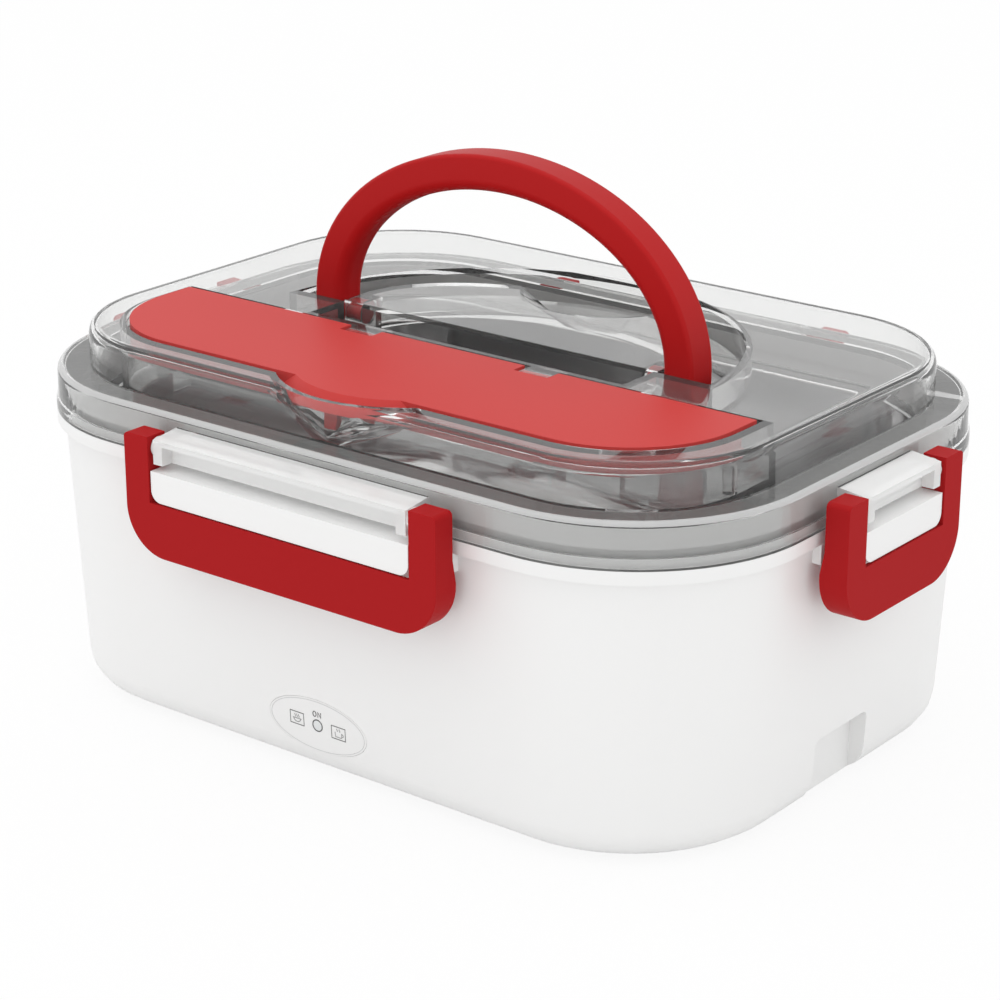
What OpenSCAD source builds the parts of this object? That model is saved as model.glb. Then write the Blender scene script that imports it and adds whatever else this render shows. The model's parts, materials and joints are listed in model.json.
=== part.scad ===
// Electric lunch box: a heated base, a lift-out steel pot and a clear lid with four side latches,
// a fold-down carrying handle and a hinged cutlery compartment.
// Millimetres. +Z is up, the front faces -Y, and the origin is the centre of the footprint.

/* [Base] */
// Length of the rim, left to right
rim_l = 224.2; // [205:0.1:250]
// Depth of the rim, front to back
rim_w = 162.3; // [150:0.1:190]
// Corner radius of the rim
rim_r = 48; // [42:0.5:56]
// Height of the rim band
rim_h = 3.4; // [2.8:0.1:5]
// How far the wall steps in under the rim
wall_step = 2; // [1.6:0.1:3]
// Extra inset of the wall at the bottom, its moulding draft
wall_draft = 3.3; // [1:0.1:5]
// Wall thickness of the base
wall_t = 2.4; // [1.8:0.1:3]
// Radius round the bottom edge
bottom_r = 8; // [6:0.5:11]
// How far the rubber feet stand out
foot_h = 1.2; // [0.8:0.1:3]
// Radius of a rubber foot
foot_r = 6; // [4:0.5:9]
// Free height of the heater bay
bay_h = 17; // [16:0.5:24]
// Width of the cord recess in each end wall
recess_w = 23.9; // [20:0.1:30]
// Height of the cord recess above the table
recess_h = 19; // [17:0.5:19.5]
// Depth of the cord recess below the end of the wall's foot
recess_d = 4.4; // [3:0.1:6]
// Distance of the recess's middle from the centre line
recess_y = -2.6; // [-8:0.1:8]

/* [Pot and well] */
// Outside height of the steel pot
pot_h = 52.4; // [40:0.1:80]
// Thickness of the pot's steel sheet
pot_t = 0.7; // [0.5:0.1:1.2]
// Draft of the pot's wall from top to bottom
pot_draft = 2.4; // [1:0.1:5]
// Radius round the pot's bottom edge
pot_r = 10; // [6:0.5:14]
// Wall thickness of the inner well
well_t = 1.6; // [1.2:0.1:2.5]
// Inset of the well's outer face from the rim
well_inset = 9.5; // [9:0.1:11]
// Length of the heating plate
plate_l = 120; // [100:1:130]
// Depth of the heating plate
plate_w = 80; // [70:1:88]
// Thickness of the heating plate's flange
plate_t = 2; // [1.5:0.1:3]
// Thickness of the plate's gasket
gasket_t = 0.6; // [0.4:0.1:1]

/* [Lid] */
// Wall thickness of the lid
lid_t = 2; // [1.6:0.1:2.4]
// Height of the lid's band above the rim
band_h = 11.5; // [10:0.1:14]
// Height of the thicker lower flange of the band
flange_h = 4.3; // [3:0.1:5]
// Width of the shoulder between the band and the dome
shoulder_w = 8.6; // [8:0.1:9.5]
// Height of the dome above the shoulder
dome_h = 10.8; // [9.5:0.1:16]
// Radius round the dome's top edge
dome_edge = 3; // [2:0.1:4]

/* [Latches] */
// Half length of the front and rear latches
long_latch = 49.9; // [44:0.1:54]
// Half length of the left and right latches
short_latch = 26.1; // [22:0.1:30]
// Width of a latch arm
arm_w = 8.1; // [6:0.1:9]
// Radius of a latch arm's top corner
arm_r = 1.4; // [0.8:0.1:3]
// How far a latch stands out from the rim
latch_out = 8.8; // [8.2:0.1:10]
// Depth of a latch arm
arm_d = 6.4; // [5.5:0.1:6.6]
// How much deeper the arms get beside the bar
heel_d = 1.2; // [0:0.1:1.4]
// Height of the closed bar below the latch window
bar_h = 14.2; // [12:0.1:17]
// Radius of the latch's lower corners
latch_r = 12.5; // [6:0.1:14]
// Thickness of the latch's front wall
latch_t = 1.3; // [1:0.1:1.6]
// Height from the latch's window up to the top of the rim
lug_h = 8.8; // [5:0.1:10]
// Radius of the lower corners of the lug in that window
lug_r = 3; // [1:0.1:4]
// Radius of the stubs that a latch turns on
stub_r = 1.6; // [1.3:0.1:1.8]

/* [Handle] */
// Half width of the handle arch, outside
arch_a = 61.7; // [58:0.1:62]
// Rise of the arch's outer curve above the dome
arch_b = 46.6; // [40:0.1:48]
// Thickness of the arch, inner to outer curve
arch_t = 9.8; // [8:0.1:10]
// Depth of the handle, front to back
handle_d = 9.6; // [8:0.1:9.8]
// Radius of the handle's pivot bosses
boss_r = 3; // [2:0.1:3.5]
// Half width of the finger notch behind the handle's island
notch_r = 24.4; // [18:0.1:28]
// How far the finger notch reaches into the island
notch_d = 17; // [8:0.1:20]
// Inside radius of the round pocket that the handle folds into
pocket_r = 67.5; // [67:0.1:69]
// Depth of the pocket
pocket_d = 9; // [8.9:0.1:10]

/* [Cutlery compartment] */
// Half length of the compartment, inside
tray_l = 93; // [88:0.1:94]
// Front face of the compartment, from the centre line
tray_front = 63.4; // [60:0.1:64.5]
// Rear face of the compartment, from the centre line
tray_rear = 20.2; // [19.8:0.1:20.6]
// Radius of the compartment's front corners
tray_r = 31; // [26:0.5:33]
// Outside depth of the compartment below the dome
tray_d = 16; // [14:0.1:17]
// Thickness of the red cover
cover_t = 1.5; // [1.2:0.1:1.8]
// Depth of the cover's skirt
skirt_h = 5.5; // [3:0.1:6.5]
// Radius of the cover's thumb bulge
bulge_r = 34; // [31:0.5:36]
// How far the thumb bulge stands out in front
bulge_d = 8.6; // [7:0.1:8.8]
// Radius of the cover's hinge pins
pin_r = 1.2; // [1:0.05:1.3]

/* [Hidden] */
$fn = 96;
eps = 0.01;
hull_fn = 56;
seat_gap = 0.3;                 // between pieces that seat round a curve
run_gap = 0.05;                 // radial clearance of a pin in its bore
thin_wall = 1.6;                // walls of the pocket and the compartment
far = 200;                      // reach of a cutter that runs past the part

// Heights, stacked from the table up
shell_z = foot_h;                               // underside of the base shell
base_top = shell_z + wall_t;                    // top of the base cover
well_z = base_top + bay_h;                      // underside of the well's floor
well_floor = well_z + 1.8;                      // top of the well's floor
plate_z = well_floor + gasket_t;                // underside of the plate's flange
pot_z = plate_z + plate_t;                      // underside of the pot
pot_top = pot_z + pot_h;
rim_top = pot_top + seat_gap;
rim_z = rim_top - rim_h;
flange_z = pot_top - pot_t;                     // top of the well's flange
ledge_z = flange_z - 1.2;                       // the rim's ledge under the well's flange
shoulder_z = rim_top + band_h;
dome_top = shoulder_z + dome_h;

// Insets, measured inwards from the rim's outline
foot_inset = wall_step + wall_draft;
ledge_inset = 3;
lip_inset = foot_inset + bottom_r;              // where the bottom turns flat
cover_inset = lip_inset + 2.7;
step_inset = cover_inset + 2;
pot_inset = well_inset + well_t + 0.8;
band_step = 0.6;
dome_inset = band_step + shoulder_w;
groove_in = band_step + lid_t + 0.3;
skirt_inset = dome_inset + lid_t - thin_wall;   // the skirt carries the dome's wall on down
tongue_in = 2.15;                               // the rim's tongue, which the lid's flange fits over
tongue_h = 2.2;

// Base fasteners: every screw stands in a tube of the base cover and bites into a well boss
screw_x = 76;
screw_y = 43;
mid_screw_y = 53;
screw_spots = [
    for (sx = [-1, 1], sy = [-1, 1]) [sx * screw_x, sy * screw_y],
    for (sy = [-1, 1]) [0, sy * mid_screw_y]
];
foot_x = 60;
foot_y = 50;
foot_seat = 0.8;                                // how deep a foot sits in the cover
foot_spots = [for (sx = [-1, 1], sy = [-1, 1]) [sx * foot_x, sy * foot_y]];
screw_l = 12;
screw_r = 1.2;
head_r = 2.8;
head_h = 2;
tube_h = 5;
tube_r = 4.8;
boss_out = 3.6;
tube_top = base_top + tube_h;
head_seat = tube_top - 1.6;

// Heater stack, hung under the well's floor
core_in = 8;                                    // the core is this much smaller than the flange, all round
core_z = well_z - 2;
bar_l = 56;
bar_w = 20;
bar_t = 4;
bar_y = 13;
heater_z = core_z - bar_t;
clamp_l = 88;
clamp_w = 46;
clamp_t = 1.5;
clamp_x = 36;
standoff_r = 4;
m3_r = 1.45;
m3_head_r = 2.7;
m3_head_h = 1.6;
plate_boss = [for (sx = [-1, 1], sy = [-1, 1]) [sx * (plate_l / 2 - 7), sy * (plate_w / 2 - 3.8)]];
plate_boss_r = 3.2;
washer_r = 5;
washer_t = 1;
shield_z = base_top + 4.2;
shield_t = 0.8;
shield_l = 126;
shield_w = 74;
shield_post = [for (sx = [-1, 1], sy = [-1, 1]) [sx * (shield_l / 2 - 11), sy * (shield_w / 2 - 7)]];
stake_r = 1.2;

// Indicator on the front wall
panel_z = shell_z + 13.8;
panel_a = 16;
panel_b = 7.2;
panel_t = 0.5;
lens_r = 1.5;
draft_angle = atan(wall_draft / (rim_z - shell_z - bottom_r));
panel_y = -(rim_w / 2 - foot_inset + (panel_z - shell_z - bottom_r) * tan(draft_angle));
board_l = 40;
board_h = 10;
board_t = 1.6;
board_y = panel_y + wall_t + 3.2;
board_post = 15;

// Mains inlet in the left end wall
inlet_z = shell_z + 9.6;
inlet_x = -(rim_l / 2 - foot_inset - recess_d);  // face of the left recess
inlet_l = 15;
inlet_w = 21;
inlet_h = 11;
inlet_collar = 1.4;
prong_r = 1.2;
prong_gap = 8.6;
prong_l = 8.5;
figure_r = 3.5;

// Latches: pivot in the lid's tab, bar in front of the lug
pivot_out = 5.3;
pivot_z = shoulder_z - 6.2;
arm_top = shoulder_z - 3.1;
bar_top = rim_top - lug_h;
bar_z = bar_top - bar_h;
side_gap = 0.4;
lug_out = latch_out - latch_t - 0.25;
lug_gap = 0.4;                                  // under the lug, where the bar swings past it
root_in = 2.2;                                  // the lug's root ends this far inside the latch
tab_out = latch_out - 0.7;
tab_z = rim_top + 1.5;
tab_gap = 1.3;                                  // between the tab's end face and the arm
tab_block = 3;                                  // width of the tab's end blocks
tab_wall = 1.4;                                 // thickness of the tab's plate and rib
tab_recess = 3.4;                               // depth of the channel under the tab's top
barrel_r = 2.6;                                 // round the latch's stub, on the tab's end
tab_slope = 1;                                  // fall of the tab's top to its front edge
waist_z = rim_top - 4;                          // where the arms start to get deeper
tab_top = shoulder_z - 2.7;
stub_l = 2.2;
SIDES = [["front", 0, rim_w / 2, long_latch], ["rear", 180, rim_w / 2, long_latch],
         ["right", 90, rim_l / 2, short_latch], ["left", -90, rim_l / 2, short_latch]];

// Handle and pocket
handle_z = dome_top - 3.8;
pocket_y = -9.5;
pocket_front = handle_d / 2 + 0.5;
bay_l = 50.8;
bay_front = tray_rear - thin_wall;
ear_x = arch_a - arch_t - 0.6;                  // outer side of the island between the handle's legs
ear_t = 5.3;
ear_w = 10;
boss_l = ear_t - 0.8;                           // the boss ends in a blind bore
island_gap = 2;                                 // between the island and the folded handle's inner curve
island_b = arch_b - arch_t - island_gap;
island_y = dome_top - handle_z;                 // where the folded arch's curve starts
island_front = handle_d / 2 - 0.3;
notch_y = island_y + island_b + notch_r - notch_d;

// Cutlery compartment
tray_floor = dome_top - tray_d;
cover_gap = 1;
cover_z = dome_top + 0.4 - cover_t;
hinge_z = dome_top - 1.8;
hinge_y = -(tray_rear + 3.3);
cover_rear = tray_rear + 1.7;
knuckle_x = 28.5;
knuckle_l = 9;
notch_l = knuckle_l + 1.6;
bulge_y = -(tray_front + bulge_d - bulge_r);
hook_w = 4;
hook_h = 8;
lip_run = 3.4;                                  // how far the thumb lip slopes outwards
post_r = 1.6;
scoop_z = shoulder_z - 0.5;

// ---------- shapes that repeat ----------

// A rounded rectangle, inset from the rim's outline
module plan(inset) {
    r = rim_r - inset;
    half_l = rim_l / 2 - inset;
    half_w = rim_w / 2 - inset;
    square([2 * half_l, 2 * (half_w - r)], center = true);
    square([2 * (half_l - r), 2 * half_w], center = true);
    for (sx = [-1, 1], sy = [-1, 1])
        translate([sx * (half_l - r), sy * (half_w - r)]) circle(r);
}

module slab(inset, z0, z1) {
    translate([0, 0, z0]) linear_extrude(z1 - z0) plan(inset);
}

module ring(outer, inner, z0, z1) {
    translate([0, 0, z0]) linear_extrude(z1 - z0) difference() {
        plan(outer);
        plan(inner);
    }
}

// A block with rounded upright edges
module pad(l, w, r, z0, z1) {
    translate([0, 0, z0]) linear_extrude(z1 - z0) {
        square([l, w - 2 * r], center = true);
        square([l - 2 * r, w], center = true);
        for (sx = [-1, 1], sy = [-1, 1])
            translate([sx * (l / 2 - r), sy * (w / 2 - r)]) circle(r);
    }
}

// A tapered tub: inset_top at z1, inset_bottom where the bottom radius starts
module tub(inset_top, inset_bottom, r, z0, z1) {
    hull() {
        for (a = [0 : 22.5 : 90])
            let(inset = inset_bottom + r * (1 - sin(a)), z = z0 + r * (1 - cos(a)))
                slab(inset, z, z + eps, $fn = hull_fn);
        slab(inset_top, z1 - eps, z1, $fn = hull_fn);
    }
}

module rod(r, l) {
    translate([0, 0, -eps]) cylinder(h = l + eps, r = r);
}

// Puts a side feature on one side of the box; the side's outward direction is local -Y
module on_side(side) {
    rotate([0, 0, side[1]]) translate([0, -side[2], 0]) children();
}

// Puts a child on the front wall at the panel, its local +Z pointing out of the wall
module on_panel() {
    translate([0, panel_y, panel_z]) rotate([90 + draft_angle, 0, 0]) children();
}

// A lead along a few hand-chosen points, rounded by a Catmull-Rom curve and swept with eight sides
function unit(v) = v / norm(v);
function bend(a, b, c, d, t) =
    0.5 * (2 * b + (c - a) * t + (2 * a - 5 * b + 4 * c - d) * t * t + (3 * b - a - 3 * c + d) * t * t * t);
function route(p) = [
    for (i = [0 : len(p) - 2], t = [0 : 0.25 : 0.75])
        bend(p[max(i - 1, 0)], p[i], p[i + 1], p[min(i + 2, len(p) - 1)], t),
    p[len(p) - 1]];
function heading(p, i) = unit(p[min(i + 1, len(p) - 1)] - p[max(i - 1, 0)]);

module lead(points, r) {
    path = route(points);
    rings = len(path);
    sides = 8;
    skin = [for (i = [0 : rings - 1], k = [0 : sides - 1])
        let (h = heading(path, i), across = unit(cross(h, [0, 0, 1])), a = 360 * k / sides)
            path[i] + r * (cos(a) * across + sin(a) * cross(across, h))];
    quads = [for (i = [0 : rings - 2], k = [0 : sides - 1])
        [i * sides + (k + 1) % sides, (i + 1) * sides + (k + 1) % sides,
         (i + 1) * sides + k, i * sides + k]];
    ends = [[for (k = [sides - 1 : -1 : 0]) k], [for (k = [0 : sides - 1]) (rings - 1) * sides + k]];
    polyhedron(skin, concat(quads, ends));
}

// ---------- base ----------

module recess_box(grow, depth) {
    w = recess_w + 2 * grow;
    h = recess_h + grow;
    r = 2 + grow;
    x0 = rim_l / 2 - foot_inset - recess_d - depth;
    translate([x0, recess_y, 0]) rotate([90, 0, 90]) linear_extrude(rim_l / 2 - x0) {
        translate([-w / 2, -eps]) square([w, h - r + eps]);
        translate([-w / 2 + r, 0]) square([w - 2 * r, h]);
        for (s = [-1, 1])
            translate([s * (w / 2 - r), h - r]) circle(r);
    }
}

module both_ends() {
    children();
    mirror([1, 0, 0]) children();
}

// The block in a latch's window, and the wider root that carries it
module lug(half) {
    half_l = half - arm_w - side_gap;
    z0 = bar_top + lug_gap;
    z1 = rim_top - lug_gap;
    translate([0, wall_step + 0.6, 0]) rotate([90, 0, 0]) linear_extrude(lug_out + wall_step + 0.6) {
        translate([-half_l, z0 + lug_r]) square([2 * half_l, z1 - z0 - lug_r]);
        translate([-half_l + lug_r, z0]) square([2 * (half_l - lug_r), z1 - z0]);
        for (s = [-1, 1]) translate([s * (half_l - lug_r), z0 + lug_r]) circle(lug_r, $fn = 48);
    }
    translate([-half + root_in, -0.2, z0]) cube([2 * (half - root_in), wall_step + 1.4, rim_z - z0 + eps]);
}

module housing_body() {
    tub(wall_step, foot_inset, bottom_r, shell_z, rim_z);
}

module outer_housing() {
    color("whitesmoke") difference() {
        union() {
            difference() {
                union() {
                    housing_body();
                    ring(0, ledge_inset + 3, rim_z, rim_top);
                    ring(tongue_in, ledge_inset + 1, rim_top - eps, rim_top + tongue_h);
                    for (side = SIDES) on_side(side) lug(side[3]);
                }
                tub(wall_step + wall_t, foot_inset + wall_t, bottom_r - wall_t, base_top, rim_top + 1);
                slab(ledge_inset, ledge_z, rim_top + tongue_h + 1);
                slab(step_inset, shell_z - 1, base_top + 1);
                slab(cover_inset, shell_z - 1, shell_z + wall_t / 2);
            }
            intersection() {
                both_ends() recess_box(1.2, 2);
                housing_body();
            }
            for (s = [-1, 1])
                translate([s * board_post, board_y, panel_z]) rotate([90, 0, 0])
                    cylinder(h = board_y - panel_y - 1, r = 2.6);
        }
        both_ends() recess_box(0, 0);
        slab(lip_inset - wall_t, shell_z - 1, shell_z);
        inlet_opening();
        on_panel() translate([0, 0, -panel_t]) linear_extrude(2) panel_shape(0.1);
        on_panel() translate([0, 0, -wall_t - 2]) cylinder(h = wall_t + 3, r = lens_r + run_gap);
        for (s = [-1, 1])
            translate([s * board_post, board_y + 1, panel_z]) rotate([90, 0, 0]) cylinder(h = 5, r = 0.95);
    }
}

module inlet_opening() {
    translate([inlet_x - 1, recess_y - inlet_w / 2 - 0.1, inlet_z - inlet_h / 2 - 0.1])
        cube([4, inlet_w + 0.2, inlet_h + 0.2]);
}

module inner_well() {
    color("gainsboro") difference() {
        union() {
            ring(ledge_inset + seat_gap, well_inset + well_t, ledge_z, flange_z);
            ring(well_inset, well_inset + well_t, well_z, flange_z);
            slab(well_inset, well_z, well_floor);
            for (p = screw_spots)
                translate([p[0], p[1], tube_top]) cylinder(h = well_z - tube_top + eps, r = boss_out);
        }
        pad(plate_l - 2 * core_in + 0.8, plate_w - 2 * core_in + 0.8, 10.4, well_z - 1, well_floor + 1);
        for (p = plate_boss)
            translate([p[0], p[1], well_z - 1]) cylinder(h = 4, r = plate_boss_r + 0.2);
        for (p = screw_spots)
            translate([p[0], p[1], tube_top - 1]) cylinder(h = 12, r = screw_r + run_gap);
    }
}

module heating_plate() {
    color("silver") difference() {
        union() {
            pad(plate_l, plate_w, 18, plate_z, pot_z);
            pad(plate_l - 2 * core_in, plate_w - 2 * core_in, 10, core_z, plate_z + eps);
            for (s = [-1, 1])
                translate([s * clamp_x, 0, heater_z]) cylinder(h = bar_t + eps, r = standoff_r);
            for (p = plate_boss)
                translate([p[0], p[1], well_z + 0.2]) cylinder(h = plate_z - well_z, r = plate_boss_r);
        }
        for (s = [-1, 1])
            translate([s * clamp_x, 0, heater_z - 1]) cylinder(h = 8, r = m3_r + run_gap);
        for (p = plate_boss)
            translate([p[0], p[1], well_z - 1]) cylinder(h = pot_z - 0.8 - well_z + 1, r = m3_r + run_gap);
    }
}

module plate_gasket() {
    color("dimgray") difference() {
        pad(plate_l, plate_w, 18, well_floor, plate_z);
        pad(plate_l - 2 * core_in + 0.8, plate_w - 2 * core_in + 0.8, 10.4, well_floor - 1, plate_z + 1);
        for (p = plate_boss)
            translate([p[0], p[1], well_floor - 1]) cylinder(h = 3, r = plate_boss_r + 0.2);
    }
}

module ptc_heaters() {
    color("goldenrod") for (s = [-1, 1])
        translate([-bar_l / 2, s * bar_y - bar_w / 2, heater_z]) cube([bar_l, bar_w, bar_t]);
}

module heater_clamp() {
    color("darkgray") difference() {
        translate([-clamp_l / 2, -clamp_w / 2, heater_z - clamp_t]) cube([clamp_l, clamp_w, clamp_t]);
        for (s = [-1, 1])
            translate([s * clamp_x, 0, heater_z - clamp_t - 1]) cylinder(h = clamp_t + 2, r = m3_r + 0.2);
    }
}

module clamp_screws() {
    color("slategray") for (s = [-1, 1]) translate([s * clamp_x, 0, heater_z - clamp_t]) {
        rod(m3_r, clamp_t + 6);
        translate([0, 0, -m3_head_h]) cylinder(h = m3_head_h, r = m3_head_r);
    }
}

module plate_washers() {
    color("lightsteelblue") for (p = plate_boss) translate([p[0], p[1], well_z - washer_t]) difference() {
        cylinder(h = washer_t, r = washer_r);
        translate([0, 0, -1]) cylinder(h = washer_t + 2, r = m3_r + 0.2);
    }
}

module plate_screws() {
    color("slategray") for (p = plate_boss) translate([p[0], p[1], well_z - washer_t]) {
        rod(m3_r, pot_z - 1.2 - well_z + washer_t);
        translate([0, 0, -m3_head_h]) cylinder(h = m3_head_h, r = m3_head_r);
    }
}

thermostat_x = clamp_x + standoff_r + 1;
module thermostat() {
    color("black") translate([thermostat_x, -8, core_z - 4]) cube([9, 16, 4]);
}

fuse_x = -(plate_l / 2 - core_in - 4);
fuse_r = 2;
fuse_l = 12;
module thermal_fuse() {
    color("tan") translate([fuse_x, -fuse_l / 2, core_z - fuse_r - 0.05]) rotate([-90, 0, 0])
        cylinder(h = fuse_l, r = fuse_r);
}

module heat_shield() {
    color("lightgray") difference() {
        pad(shield_l, shield_w, 6, shield_z, shield_z + shield_t);
        for (p = shield_post)
            translate([p[0], p[1], shield_z - 1]) cylinder(h = 3, r = stake_r + run_gap);
    }
}

// ---------- indicator and inlet ----------

module panel_shape(grow) {
    scale([panel_a + grow, panel_b + grow]) circle(1, $fn = 64);
}

module control_panel() {
    color("white") on_panel() difference() {
        translate([0, 0, -panel_t]) linear_extrude(panel_t) panel_shape(0);
        translate([0, 0, -panel_t - 1]) cylinder(h = panel_t + 2, r = lens_r + run_gap);
    }
}

module led_lens() {
    color("azure") on_panel() translate([0, 0, -wall_t - 0.4]) cylinder(h = wall_t + 0.4, r = lens_r);
}

module indicator_led() {
    color("lime") translate([0, board_y, panel_z]) rotate([90, 0, 0]) {
        cylinder(h = 1, r = 1.7);
        cylinder(h = 2.2, r = 1.4);
    }
}

module control_board() {
    color("darkgreen") difference() {
        translate([-board_l / 2, board_y, panel_z - board_h / 2]) cube([board_l, board_t, board_h]);
        for (s = [-1, 1])
            translate([s * board_post, board_y - 1, panel_z]) rotate([-90, 0, 0])
                cylinder(h = board_t + 2, r = 1.1);
    }
}

module board_screws() {
    color("slategray") for (s = [-1, 1])
        translate([s * board_post, board_y + board_t, panel_z]) rotate([90, 0, 0]) {
        rod(0.9, board_t + 3.4);
        translate([0, 0, -1.2]) cylinder(h = 1.2, r = 2);
    }
}

module inlet_socket() {
    color("dimgray") translate([inlet_x, recess_y, inlet_z]) difference() {
        union() {
            translate([0, -inlet_w / 2, -inlet_h / 2]) cube([inlet_l, inlet_w, inlet_h]);
            translate([-inlet_collar, -inlet_w / 2 - 1, -inlet_h / 2 - 1])
                cube([inlet_collar, inlet_w + 2, inlet_h + 2]);
        }
        translate([-inlet_collar - 1, 0, 0]) rotate([0, 90, 0])
            linear_extrude(inlet_l - 2 + inlet_collar + 1) {
            square([2 * figure_r - 1.6, prong_gap], center = true);
            for (s = [-1, 1]) translate([0, s * prong_gap / 2]) circle(figure_r);
        }
        for (s = [-1, 1])
            translate([0, s * prong_gap / 2, 0]) rotate([0, 90, 0])
                cylinder(h = inlet_l + 1, r = prong_r + run_gap);
    }
}

module inlet_prongs() {
    color("gold") for (s = [-1, 1])
        translate([inlet_x + inlet_l - 2 - prong_l, recess_y + s * prong_gap / 2, inlet_z])
            rotate([0, 90, 0]) cylinder(h = prong_l + 6, r = prong_r);
}

tab_end = inlet_x + inlet_l + 4;
live_y = recess_y - prong_gap / 2;
neutral_y = recess_y + prong_gap / 2;
lead_r = 0.9;
lead_z = heater_z + bar_t / 2;
lead_run = 10;                                  // straight out of the inlet's tabs
lead_x = 66;                                    // where the mains leads turn along the plate
lead_y = 10;
pair_x = 14;                                    // half gap of the indicator's leads
pair_low = 44;
pair_high = 32;

module live_lead() {
    color("brown") lead([
        [tab_end + seat_gap, live_y, inlet_z], [tab_end + lead_run, live_y, inlet_z],
        [-lead_x, -lead_y, lead_z],
        [fuse_x, -fuse_l, lead_z], [fuse_x, -fuse_l / 2 - seat_gap, lead_z]], lead_r);
}

module neutral_lead() {
    color("royalblue") lead([
        [tab_end + seat_gap, neutral_y, inlet_z], [tab_end + lead_run, neutral_y, inlet_z],
        [-lead_x, lead_y, lead_z],
        [-bar_l / 2 - 12, bar_y + 3, lead_z], [-bar_l / 2 - seat_gap, bar_y + 3, lead_z]], lead_r);
}

module indicator_leads() {
    color("orange") for (s = [-1, 1]) lead([
        [s * 5, board_y + board_t + 0.1, panel_z - 3], [s * 5, board_y + 8, panel_z - 3],
        [s * pair_x, -pair_low, panel_z - 2], [s * pair_x, -pair_high, lead_z],
        [s * pair_x, -bar_y - bar_w / 2 - seat_gap, lead_z]], 0.6);
}

module base_cover() {
    color("white") difference() {
        union() {
            slab(cover_inset + seat_gap, shell_z, shell_z + wall_t / 2);
            slab(step_inset + seat_gap, shell_z, base_top);
            for (p = screw_spots)
                translate([p[0], p[1], base_top - eps]) cylinder(h = tube_h + eps, r = tube_r);
            for (p = shield_post) translate([p[0], p[1], base_top - eps]) {
                cylinder(h = shield_z - base_top + eps, r = 2.6);
                cylinder(h = shield_z + shield_t + 0.8 - base_top, r = stake_r);
            }
        }
        for (p = screw_spots) translate([p[0], p[1], shell_z - 1]) {
            cylinder(h = head_seat - shell_z + 1, r = head_r + 0.4);
            cylinder(h = tube_h + wall_t + 2, r = screw_r + 0.4);
        }
        for (p = foot_spots)
            translate([p[0], p[1], shell_z - 1]) cylinder(h = 1 + foot_seat, r = foot_r + 0.1);
    }
}

module base_screws() {
    color("slategray") for (p = screw_spots) translate([p[0], p[1], head_seat]) {
        rod(screw_r, screw_l);
        translate([0, 0, -head_h]) cylinder(h = head_h, r = head_r);
    }
}

module rubber_feet() {
    color("gray") for (p = foot_spots)
        translate([p[0], p[1], 0]) cylinder(h = foot_h + foot_seat, r = foot_r);
}

// ---------- pot ----------

module steel_pot() {
    color("lightsteelblue") difference() {
        union() {
            ring(ledge_inset + 0.4, pot_inset + 1, flange_z, pot_top);
            tub(pot_inset, pot_inset + pot_draft, pot_r, pot_z, pot_top);
        }
        tub(pot_inset + pot_t, pot_inset + pot_draft + pot_t, pot_r - pot_t, pot_z + pot_t, pot_top + eps);
        slab(pot_inset + pot_t, pot_top - eps, pot_top + 1, $fn = hull_fn);
    }
}

// ---------- lid ----------

module pocket_plan(grow) {
    intersection() {
        translate([0, pocket_y]) circle(pocket_r + grow, $fn = 144);
        translate([-far, -pocket_front - grow]) square([2 * far, far]);
    }
    translate([-bay_l - grow, -bay_front - grow]) square([2 * (bay_l + grow), bay_front + 2 * grow]);
}

module tray_plan(grow, rear) {
    c = tray_l - tray_r;
    d = tray_front - tray_r;
    translate([-tray_l - grow, -d]) square([2 * (tray_l + grow), d - rear]);
    translate([-c, -tray_front - grow]) square([2 * c, tray_front + grow - rear]);
    for (s = [-1, 1]) translate([s * c, -d]) intersection() {
        circle(tray_r + grow);
        translate([-tray_r - grow, -tray_r - grow]) square([2 * (tray_r + grow), tray_r + grow]);
    }
}

module bulge_side(grow) {
    translate([-far, -tray_front - bulge_d - grow - 1]) children();
}

module bulge_plan(grow) {
    intersection() {
        translate([0, bulge_y]) circle(bulge_r + grow);
        bulge_side(grow) square([2 * far, bulge_d + grow + 3]);
    }
}

// The island stands inside the folded handle's curve, with a finger notch at its back
module island_plan(grow) {
    translate([-ear_x - grow, -island_front - grow])
        square([2 * (ear_x + grow), island_front + island_y + grow + eps]);
    translate([0, island_y]) intersection() {
        scale([ear_x + grow, island_b + grow]) circle(1, $fn = 144);
        translate([-far, 0]) square([2 * far, far]);
    }
}

module island_notch(grow) {
    translate([0, notch_y, dome_top - pocket_d])
        cylinder(h = pocket_d + eps, r1 = notch_r / 2 + grow, r2 = notch_r + grow);
}

// The scoop in front of the thumb bulge narrows to a point on the shoulder
module scoop(grow, z_tip) {
    hull() {
        translate([0, 0, dome_top - eps]) linear_extrude(eps) bulge_plan(grow, $fn = hull_fn);
        translate([0, 0, dome_top - 4]) linear_extrude(eps) bulge_plan(grow, $fn = hull_fn);
        translate([0, -tray_front - 4, z_tip]) cylinder(h = eps, r = 2 + grow, $fn = 24);
    }
}

module dome(grow, z1) {
    r = dome_edge + grow;
    hull() {
        slab(dome_inset - grow, shoulder_z - lid_t - 1, z1 - r, $fn = hull_fn);
        for (a = [30 : 30 : 90])
            slab(dome_inset - grow + r * (1 - cos(a)), z1 - r, z1 - r + r * sin(a), $fn = hull_fn);
    }
}

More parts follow.
